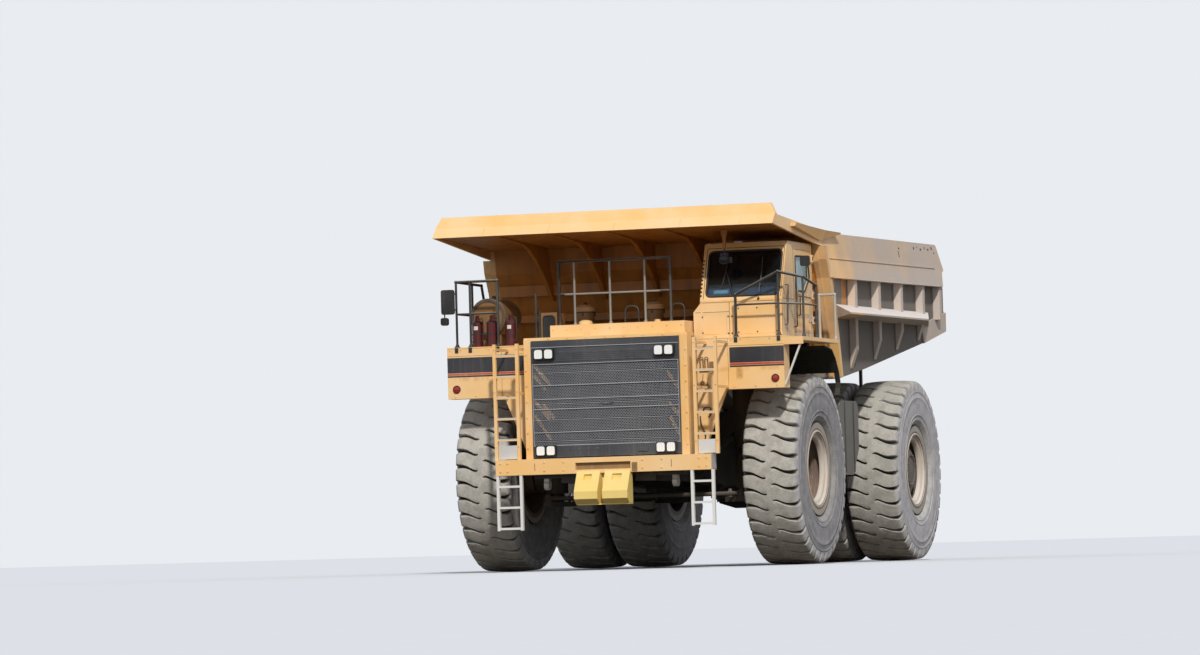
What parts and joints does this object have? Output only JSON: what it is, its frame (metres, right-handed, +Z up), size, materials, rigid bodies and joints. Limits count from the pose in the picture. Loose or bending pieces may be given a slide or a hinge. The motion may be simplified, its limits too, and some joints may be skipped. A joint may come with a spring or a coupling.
{
  "type": "mining dump truck",
  "caption": "Rigid two-axle mining dump truck with a tipping body and canopy, steered front wheels, twin rear wheels, and a cab with an opening door.",
  "frame": {"origin": "on the ground, under the middle of the truck's length and width", "axes": "+Z up, -Y towards the front of the truck, +X to the truck's left"},
  "size_m": [6.4, 11.08, 5.73],
  "materials": {
    "yellow_paint": "sun-faded gloss, dusty",
    "frame_black": "matt black, dusty",
    "grille_slate": "slate grey, dusty",
    "cast_steel": "painted, dusty",
    "rod_chrome": "polished, dusty",
    "lamp_glass": "clear lamp",
    "window_glass": "clear, tinted",
    "cab_trim": "grained",
    "pipe_grey": "worn paint",
    "red_paint": "gloss",
    "brown_paint": "dusty",
    "tyre_rubber": "dusty tread",
    "rim_paint": "brown, dusty",
    "mudguard": "black"
  },
  "bodies": {
    "chassis": {"main_frame": "frame_black", "front_bumper": "yellow_paint", "tow_eyes": "yellow_paint", "wheel_chocks": "yellow_paint", "grille": "grille_slate", "hood": "yellow_paint", "engine": "cast_steel", "headlamps": "lamp_glass", "right_deck": "yellow_paint", "left_deck": "yellow_paint", "fenders": "mudguard", "cab_shell": "yellow_paint", "cab_glass": "window_glass", "cab_interior": "cab_trim", "ladders": "yellow_paint", "handrails": "pipe_grey", "mirrors": "cab_trim", "extinguishers": "red_paint", "deck_equipment": "brown_paint", "side_tanks": "frame_black", "suspension_struts": "cast_steel", "rear_axle": "cast_steel"},
    "door": {"cab_door": "yellow_paint", "door_glass": "window_glass"},
    "bed": {"bed_floor": "yellow_paint", "bed_walls": "yellow_paint", "bed_front": "yellow_paint", "canopy": "yellow_paint", "bed_stringers": "yellow_paint"},
    "knuckle_l": {"knuckle_left": "cast_steel"},
    "knuckle_r": {"knuckle_right": "cast_steel"},
    "tie_rod": {"tie_rod": "cast_steel"},
    "steer_barrel_l": {"steering_barrel_left": "cast_steel"},
    "steer_rod_l": {"steering_rod_left": "rod_chrome"},
    "steer_barrel_r": {"steering_barrel_right": "cast_steel"},
    "steer_rod_r": {"steering_rod_right": "rod_chrome"},
    "front_wheel_l": {"front_tyre_left": "tyre_rubber", "front_rim_left": "rim_paint"},
    "front_wheel_r": {"front_tyre_right": "tyre_rubber", "front_rim_right": "rim_paint"},
    "rear_wheels_l": {"rear_tyres_left": "tyre_rubber", "rear_rims_left": "rim_paint"},
    "rear_wheels_r": {"rear_tyres_right": "tyre_rubber", "rear_rims_right": "rim_paint"},
    "hoist_barrel_l": {"hoist_barrel_left": "cast_steel"},
    "hoist_sleeve_l": {"hoist_sleeve_left": "rod_chrome"},
    "hoist_rod_l": {"hoist_rod_left": "rod_chrome"},
    "hoist_barrel_r": {"hoist_barrel_right": "cast_steel"},
    "hoist_sleeve_r": {"hoist_sleeve_right": "rod_chrome"},
    "hoist_rod_r": {"hoist_rod_right": "rod_chrome"}
  },
  "joints": [
    {"name": "bed_tip", "type": "hinge", "parent": "chassis", "child": "bed", "pos_m": [0, 3.4, 2.3], "axis": [-1, 0, 0], "range_deg": [0, 45]},
    {"name": "door_swing", "type": "hinge", "parent": "chassis", "child": "door", "pos_m": [2.77, -2.692, 4.4], "axis": [0, 0, 1], "range_deg": [0, 85]},
    {"name": "steer_left", "type": "hinge", "parent": "chassis", "child": "knuckle_l", "pos_m": [1.65, -2.8, 1.53], "axis": [0, 0, 1], "range_deg": [-36, 36]},
    {"name": "steer_right", "type": "hinge", "parent": "chassis", "child": "knuckle_r", "pos_m": [-1.65, -2.8, 1.53], "axis": [0, 0, 1], "range_deg": [-36, 36]},
    {"name": "tie_rod_pivot", "type": "hinge", "parent": "knuckle_l", "child": "tie_rod", "pos_m": [1.65, -3.22, 1.17], "axis": [0, 0, 1], "range_deg": [-36, 36]},
    {"name": "front_spin_l", "type": "hinge", "parent": "knuckle_l", "child": "front_wheel_l", "pos_m": [2.425, -2.8, 1.53], "axis": [1, 0, 0], "continuous": true},
    {"name": "rear_spin_l", "type": "hinge", "parent": "chassis", "child": "rear_wheels_l", "pos_m": [2.14, 2.38, 1.53], "axis": [1, 0, 0], "continuous": true},
    {"name": "front_spin_r", "type": "hinge", "parent": "knuckle_r", "child": "front_wheel_r", "pos_m": [-2.425, -2.8, 1.53], "axis": [1, 0, 0], "continuous": true},
    {"name": "rear_spin_r", "type": "hinge", "parent": "chassis", "child": "rear_wheels_r", "pos_m": [-2.14, 2.38, 1.53], "axis": [1, 0, 0], "continuous": true},
    {"name": "steer_barrel_tilt_l", "type": "hinge", "parent": "chassis", "child": "steer_barrel_l", "pos_m": [0.55, -1.05, 1.17], "axis": [0, 0, 1], "range_deg": [-1.11, 1.11]},
    {"name": "steer_rod_slide_l", "type": "slide", "parent": "steer_barrel_l", "child": "steer_rod_l", "axis": [0.4068, -0.9135, 0], "range_m": [-0.1705, 0.1705]},
    {"name": "steer_barrel_tilt_r", "type": "hinge", "parent": "chassis", "child": "steer_barrel_r", "pos_m": [-0.55, -1.05, 1.17], "axis": [0, 0, 1], "range_deg": [-1.11, 1.11]},
    {"name": "steer_rod_slide_r", "type": "slide", "parent": "steer_barrel_r", "child": "steer_rod_r", "axis": [-0.4068, -0.9135, 0], "range_m": [-0.1705, 0.1705]},
    {"name": "hoist_tilt_l", "type": "hinge", "parent": "chassis", "child": "hoist_barrel_l", "pos_m": [0.96, 0.7, 1.2], "axis": [-1, 0, 0], "range_deg": [0, 19.07]},
    {"name": "hoist_sleeve_slide_l", "type": "slide", "parent": "hoist_barrel_l", "child": "hoist_sleeve_l", "axis": [0, 0, 1], "range_m": [0, 0.9917]},
    {"name": "hoist_rod_slide_l", "type": "slide", "parent": "hoist_sleeve_l", "child": "hoist_rod_l", "axis": [0, 0, 1], "range_m": [0, 0.9917]},
    {"name": "hoist_tilt_r", "type": "hinge", "parent": "chassis", "child": "hoist_barrel_r", "pos_m": [-0.96, 0.7, 1.2], "axis": [-1, 0, 0], "range_deg": [0, 19.07]},
    {"name": "hoist_sleeve_slide_r", "type": "slide", "parent": "hoist_barrel_r", "child": "hoist_sleeve_r", "axis": [0, 0, 1], "range_m": [0, 0.9917]},
    {"name": "hoist_rod_slide_r", "type": "slide", "parent": "hoist_sleeve_r", "child": "hoist_rod_r", "axis": [0, 0, 1], "range_m": [0, 0.9917]}
  ],
  "couplings": [
    {"joint": "steer_right", "follows": "steer_left", "ratio": 1},
    {"joint": "tie_rod_pivot", "follows": "steer_left", "ratio": -1},
    {"joint": "steer_barrel_tilt_l", "follows": "steer_left", "ratio": -0.0303},
    {"joint": "steer_rod_slide_l", "follows": "steer_left", "m_per_rad": 0.2706},
    {"joint": "steer_barrel_tilt_r", "follows": "steer_left", "ratio": -0.0303},
    {"joint": "steer_rod_slide_r", "follows": "steer_left", "m_per_rad": -0.2706},
    {"joint": "hoist_tilt_l", "follows": "bed_tip", "ratio": 0.4226},
    {"joint": "hoist_sleeve_slide_l", "follows": "bed_tip", "m_per_rad": 1.2613},
    {"joint": "hoist_rod_slide_l", "follows": "bed_tip", "m_per_rad": 1.2613},
    {"joint": "hoist_tilt_r", "follows": "bed_tip", "ratio": 0.4226},
    {"joint": "hoist_sleeve_slide_r", "follows": "bed_tip", "m_per_rad": 1.2613},
    {"joint": "hoist_rod_slide_r", "follows": "bed_tip", "m_per_rad": 1.2613}
  ]
}
